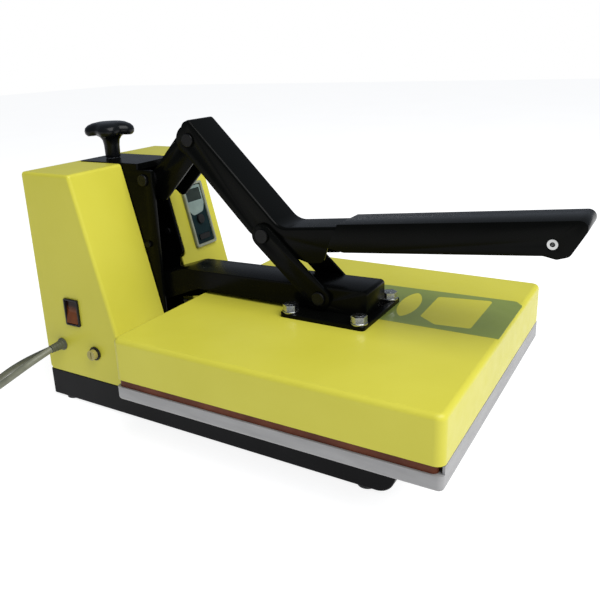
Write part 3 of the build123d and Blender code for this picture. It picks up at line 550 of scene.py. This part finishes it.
GLAND_AT = (-0.133, 0.306, 0.086)
LEAD_GLAND_AT = (0.070, 0.140, 0.125)
FUSE_AT = (-0.133, 0.243, 0.084)
gland_rows = [(0.0, -8), (6.4, -8), (6.8, -7.4), (6.8, 0.0), (8.3, 0.1), (8.8, 0.6), (8.8, 1.6), (8.2, 2.3)]
gland_rows += ribbed(2.6, 21.0, 6.7, 5.4, 4, 0.5) + [(5.0, 21.9), (0.0, 22.0)]
gland = lathe(in_metres(gland_rows), 48, GLAND_AT, (0, 1, 0), (-1, 0, 0))
add_piece("gland_boot", gland, "base", gland_grey, ("cord_gland",))
lead_rows = [(4.0, -8), (6.6, -8), (6.8, -7.4), (6.8, 0.0), (8.8, 0.1), (9.3, 0.7), (9.3, 2.2), (8.6, 2.9)]
lead_rows += ribbed(3.2, 19.0, 7.6, 5.8, 4, 0.5) + [(5.3, 19.8), (4.0, 20.0)]
lead_gland = lathe(in_metres(lead_rows), 48, LEAD_GLAND_AT, (1, 0, 0), (0, 1, 0))
add_piece(
    "lead_gland_boot", lead_gland, "heated_platen", gland_grey, ("platen_lead_gland",),
)
ring_rows = [
    (5.9, -30), (5.9, 0.0), (8.6, 0.1), (9.3, 0.7), (9.3, 2.4),
    (8.7, 3.0), (4.3, 3.0), (4.3, -28), (4.25, -30),
]
RIM_ROWS = (3, 4)
RIM_RIDGES = 18
RIDGE_DEPTH = 0.035


def knurl(angle, row):
    """Fine ridges round the ring's rim."""
    return (1.0 + RIDGE_DEPTH * math.cos(RIM_RIDGES * angle) if row in RIM_ROWS else 1.0), 0.0


fuse_ring = lathe(in_metres(ring_rows), 144, FUSE_AT, (0, 1, 0), (-1, 0, 0), knurl)
add_piece("fuse_ring", fuse_ring, "base", black_plastic, ("fuse_holder",))
PLUG_AT = (0.070, 0.398, PLUG_Z)
PLUG_WIDTH, PLUG_DEPTH, PLUG_CORNER = 36, 26, 9  # millimetres, as the next two rows
PLUG_HEIGHTS = (-23, -22, -19, -12, 0, 14, 20, 22.4, 23)
PLUG_INSETS = (7.5, 5.2, 3.2, 1.2, 0.6, 0.2, 0.0, 0.5, 1.2)
plug_body = rounded_prism(
    PLUG_WIDTH * MM, PLUG_DEPTH * MM, PLUG_CORNER * MM, [v * MM for v in PLUG_HEIGHTS],
    (PLUG_AT, (1, 0, 0), (0, 0, 1), (0, -1, 0)), [v * MM for v in PLUG_INSETS],
)
relief_rows = [(0.0, -6)] + ribbed(-5.5, 9.5, 7.4, 5.3, 4, 0.5) + [(4.9, 10.2), (0.0, 10.3)]
relief = lathe(in_metres(relief_rows), 40, (0.0695, 0.419, PLUG_Z), (1, 0, 0), (-0.09, 1, 0))
prong_rows = [(0.0, -3), (2.4, -3), (2.4, 17.0), (1.8, 18.6), (0.0, 18.9)]
prongs = [
    lathe(in_metres(prong_rows), 24, (x, 0.375, PLUG_Z), (1, 0, 0), (0, -1, 0)) for x in (0.060, 0.080)
]
plug_mesh = join_meshes([plug_body, relief])
plug = add_piece("plug_body", plug_mesh, "base", black_plastic, ("mains_plug",))
prong_pair = add_piece("plug_prongs", join_meshes(prongs), "base", zinc, ())


# ---------------------------------------------------------------- films on the cover and the controller
def film(name, loops, z, thickness, body, material, place=None):
    """Thin film at height z: the first loop in millimetres is its outline, the others are cut out."""
    curve_data = bpy.data.curves.new(name, "CURVE")
    curve_data.dimensions = "2D"
    curve_data.fill_mode = "BOTH"
    curve_data.extrude = thickness / 2
    for loop in loops:
        run = curve_data.splines.new("POLY")
        run.points.add(len(loop) - 1)
        for point, (x, y) in zip(run.points, loop):
            point.co = (x * MM, y * MM, 0.0, 1.0)
        run.use_cyclic_u = True
    holder = bpy.data.objects.new(name + "_curve", curve_data)
    scene.collection.objects.link(holder)
    graph = bpy.context.evaluated_depsgraph_get()
    mesh = bpy.data.meshes.new_from_object(holder.evaluated_get(graph))
    bpy.data.objects.remove(holder)
    mesh.transform(Matrix.Translation((0, 0, z)))
    if place:
        mesh.transform(place)
    return add_piece(name, mesh, body, material, ())


def rounded_loop(corners):
    """Points round a polygon of (x, y, radius) corners."""
    loop = []
    for index, (x, y, radius) in enumerate(corners):
        here = Vector((x, y))
        before = (Vector(corners[index - 1][:2]) - here).normalized()
        after = (Vector(corners[(index + 1) % len(corners)][:2]) - here).normalized()
        if radius <= 0:
            loop.append((x, y))
            continue
        half = before.angle(after) / 2
        reach = radius / math.tan(half)
        first, last = here + before * reach, here + after * reach
        for step in range(CORNER_STEPS + 1):
            share = step / CORNER_STEPS
            point = first.lerp(here, share).lerp(here.lerp(last, share), share)
            loop.append((point.x, point.y))
    return loop


LENS_STEPS = 40
LENS_POWER = 1.3  # above 1 draws the oval's ends out to points


def lens_loop(centre, half_width, half_height, slope):
    """Pointed oval in millimetres, sheared by the slope."""
    loop = []
    for step in range(LENS_STEPS):
        angle = 2 * math.pi * step / LENS_STEPS
        swell = math.copysign(abs(math.sin(angle)) ** LENS_POWER, math.sin(angle))
        along = half_width * math.cos(angle)
        loop.append((centre[0] + along, centre[1] + half_height * swell + slope * along))
    return loop


FILM_Z = 0.15131
FILM_THICK = 0.0002
# Dark olive film on the cover's top, under the handle: painted shadow of the handle, with a window and a
# pointed oval cut out of it.
outer = rounded_loop(((-13, -70, 4), (-11, -258, 3), (102, -258, 4), (115, -248, 7), (108, -70, 5)))
window = rounded_loop(((18, -157, 5), (0, -181, 5), (5, -222, 4), (104, -222, 6), (92, -155, 7)))
lens = lens_loop((51, -131), 43, 13, 0.10)
film("handle_shadow_film", (outer, window, lens), FILM_Z, FILM_THICK, "heated_platen", handle_shadow_paint)

FACE_LEAN = math.atan(0.25)  # of the housing's front
PANEL_AT = (0.088, 0.22828, 0.2295)
BAND_Z = 0.0026  # in front of the controller's face
BAND_THICK = 0.0001
panel_place = Matrix.Translation(PANEL_AT) @ Matrix.Rotation(math.pi / 2 - FACE_LEAN, 4, "X")
band = rounded_loop(((-19, 44, 3), (-19, 8, 10), (-12, -1, 8), (12, 2, 8), (19, 14, 6), (19, 44, 3)))
window_hole = [(-16.4, 20.6), (16.4, 20.6), (16.4, 39.4), (-16.4, 39.4)]
film(
    "controller_band", (band, window_hole), BAND_Z, BAND_THICK, "base", label_band,
    panel_place,
)

# ---------------------------------------------------------------- light, floor and surroundings
FLOOR_HALF = 9  # half of the floor's side
FLOOR_GLOW = 0.87
ROOM_COLOUR = (0.215, 0.240, 0.280, 1.0)  # lights the object; the camera sees a white backdrop instead
KEY_AT = (-0.42, -1.42, 2.10)
KEY_AIM = (0.0, -0.02, 0.12)
KEY_SIDE = 2.2
KEY_POWER = 90.0

floor_mat, floor_tree, floor_shader, floor_place = new_material("pale_floor")
floor_noise = noise(floor_tree, floor_place, 3.0)
floor_colour = ramp(floor_tree, floor_noise.outputs["Fac"], ((0.3, grey(0.34)), (0.7, grey(0.37))))
floor_tree.links.new(floor_colour.outputs["Color"], floor_shader.inputs["Base Color"])
floor_shader.inputs["Roughness"].default_value = 0.8
floor_shader.inputs["Specular IOR Level"].default_value = 0.0
floor_shader.inputs["Emission Color"].default_value = (1.0, 1.0, 1.0, 1.0)
floor_shader.inputs["Emission Strength"].default_value = FLOOR_GLOW
floor_mesh = bpy.data.meshes.new("floor")
floor_corners = [(x * FLOOR_HALF, y * FLOOR_HALF, 0) for x, y in ((-1, -1), (1, -1), (1, 1), (-1, 1))]
floor_mesh.from_pydata(floor_corners, [], [(0, 1, 2, 3)])
floor = bpy.data.objects.new("floor", floor_mesh)
floor_mesh.materials.append(floor_mat)
scene.collection.objects.link(floor)

world = bpy.data.worlds.new("studio")
scene.world = world
world.use_nodes = True
sky_tree = world.node_tree
room = sky_tree.nodes["Background"]
room.inputs["Color"].default_value = ROOM_COLOUR
backdrop = sky_tree.nodes.new("ShaderNodeBackground")
backdrop.inputs["Color"].default_value = (1.0, 1.0, 1.0, 1.0)
ray = sky_tree.nodes.new("ShaderNodeLightPath")
either = sky_tree.nodes.new("ShaderNodeMixShader")
sky_tree.links.new(ray.outputs["Is Camera Ray"], either.inputs["Fac"])
sky_tree.links.new(room.outputs["Background"], either.inputs[1])
sky_tree.links.new(backdrop.outputs["Background"], either.inputs[2])
sky_tree.links.new(either.outputs["Shader"], sky_tree.nodes["World Output"].inputs["Surface"])

key_light = bpy.data.lights.new("key", "AREA")
key_light.shape = "RECTANGLE"
key_light.size = key_light.size_y = KEY_SIDE
key_light.energy = KEY_POWER
key = bpy.data.objects.new("key", key_light)
key.location = KEY_AT
key.rotation_euler = (Vector(KEY_AIM) - Vector(KEY_AT)).to_track_quat("-Z", "Y").to_euler()
scene.collection.objects.link(key)

scene.view_settings.view_transform = "Standard"
scene.view_settings.look = "None"
scene.view_settings.exposure = 0.0
